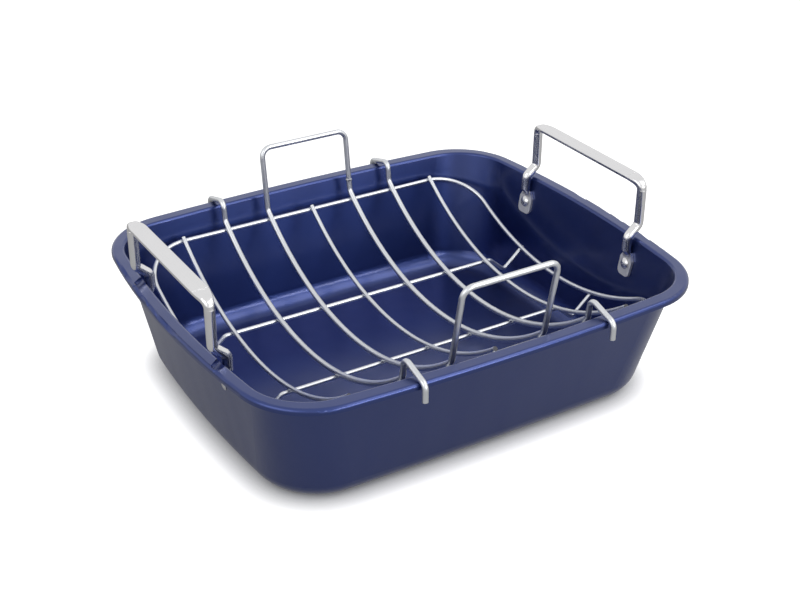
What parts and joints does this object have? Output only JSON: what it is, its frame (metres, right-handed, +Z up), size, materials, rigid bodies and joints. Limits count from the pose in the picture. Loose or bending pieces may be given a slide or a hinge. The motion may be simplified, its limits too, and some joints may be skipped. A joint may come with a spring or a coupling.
{
  "type": "roasting pan",
  "caption": "Deep oblong roasting pan with bowed sides, a rolled flat rim and upright riveted end handles, holding a lift-out wire cradle rack with rim hooks and carrying loops.",
  "frame": {"origin": "middle of the flat underside of the pan, the face that it stands on", "axes": "+X along the pan to its right handle, +Y across it to the back, +Z up"},
  "size_m": [0.4318, 0.382, 0.1733],
  "materials": {
    "navy_coat": "satin",
    "polished_steel": "polished",
    "rivet_steel": "satin",
    "rack_plating": "satin"
  },
  "bodies": {
    "pan": {"pan": "navy_coat", "left_handle": "polished_steel", "right_handle": "polished_steel", "right_back_rivet": "rivet_steel", "right_front_rivet": "rivet_steel", "left_back_rivet": "rivet_steel", "left_front_rivet": "rivet_steel"},
    "rack": {"rack_frame": "rack_plating", "rack_left_cross_wire": "rack_plating", "rack_centre_cross_wire": "rack_plating", "rack_right_cross_wire": "rack_plating", "rack_left_hook_wire": "rack_plating", "rack_right_hook_wire": "rack_plating", "rack_loop_wire": "rack_plating", "rack_back_foot_wire": "rack_plating", "rack_front_foot_wire": "rack_plating"}
  },
  "joints": [
    {"name": "rack_lift", "type": "slide", "parent": "pan", "child": "rack", "axis": [0, 0, 1], "range_m": [0, 0.15]}
  ]
}
